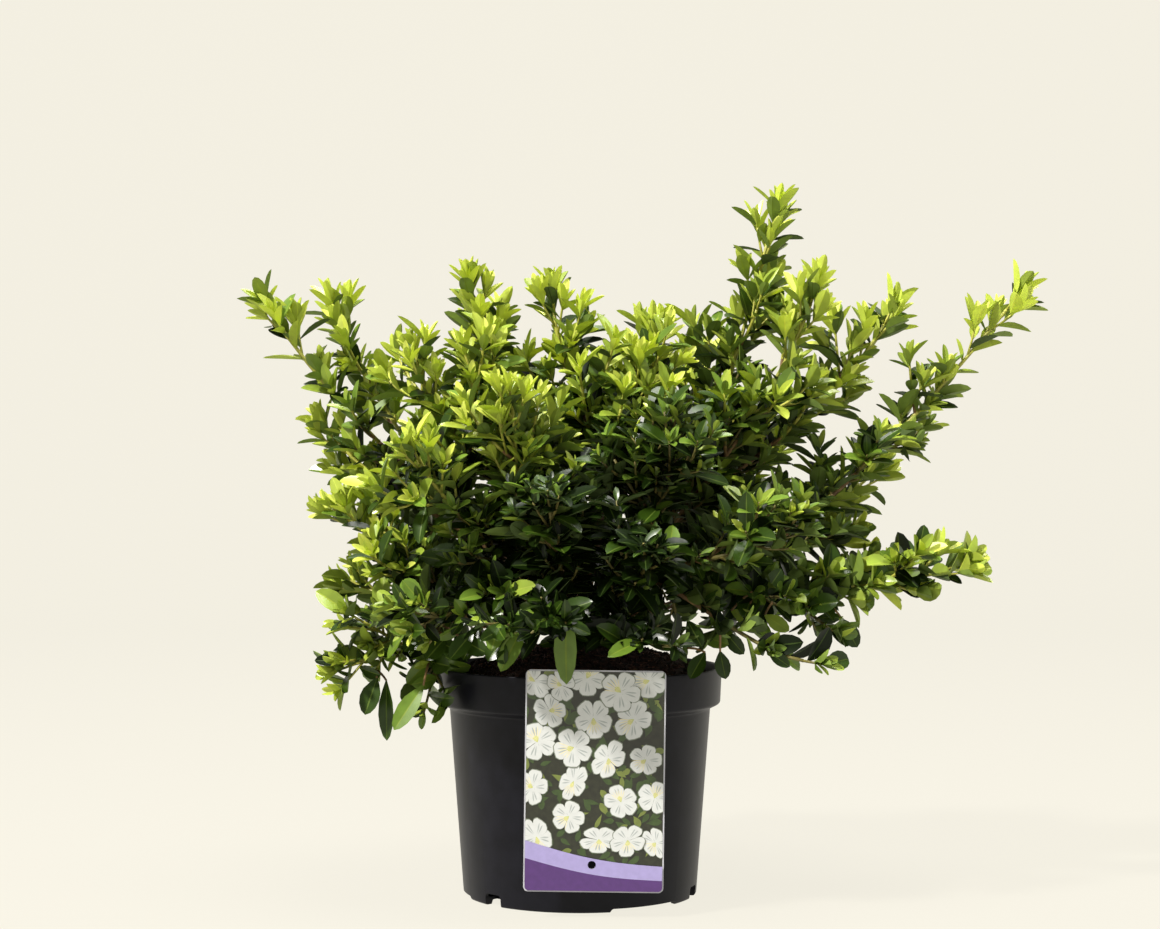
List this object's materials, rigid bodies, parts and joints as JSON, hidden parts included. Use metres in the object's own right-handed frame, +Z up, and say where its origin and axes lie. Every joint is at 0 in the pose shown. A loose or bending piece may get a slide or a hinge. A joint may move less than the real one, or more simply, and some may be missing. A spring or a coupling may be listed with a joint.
{
  "type": "potted azalea shrub",
  "caption": "Evergreen azalea shrub with upright leafy shoots fanning out of a round black nursery pot that carries a hooked plant card.",
  "frame": {"origin": "centre of the pot's flat underside, on which the potted plant stands", "axes": "+Z up along the pot's axis, -Y towards the plant card at the front, +X to the right as seen from the card's side"},
  "size_m": [0.5038, 0.3315, 0.4343],
  "materials": {
    "pot": "satin",
    "label": "gloss",
    "soil": "matte",
    "bark": "matte",
    "foliage": "satin"
  },
  "bodies": {
    "root": {"pot": "pot", "soil": "soil", "label": "label", "trunk": "bark", "left_bough": "bark", "left_low_bough": "bark", "left_top_bough": "bark", "top_bough": "bark", "spire_bough": "bark", "right_bough": "bark", "front_bough": "bark", "front_left_bough": "bark", "front_right_bough": "bark", "back_left_bough": "bark", "back_right_bough": "bark", "left_high": "foliage", "left_twin": "foliage", "left_mid": "foliage", "left_side": "foliage", "left_low": "foliage", "left_skirt": "foliage", "left_shoulder": "foliage", "top_left": "foliage", "back_left_top": "foliage", "top_centre": "foliage", "top_middle": "foliage", "back_top": "foliage", "spire": "foliage", "spire_second": "foliage", "right_shoulder": "foliage", "right_high": "foliage", "right_mid": "foliage", "right_low": "foliage", "front_centre": "foliage", "front_middle": "foliage", "front_low": "foliage", "front_left": "foliage", "front_bright": "foliage", "front_left_low": "foliage", "front_right": "foliage", "front_right_low": "foliage", "right_skirt": "foliage", "back_left": "foliage", "back_left_low": "foliage", "back_low": "foliage", "back_right_top": "foliage", "back_right": "foliage", "back_right_low": "foliage"}
  },
  "joints": []
}
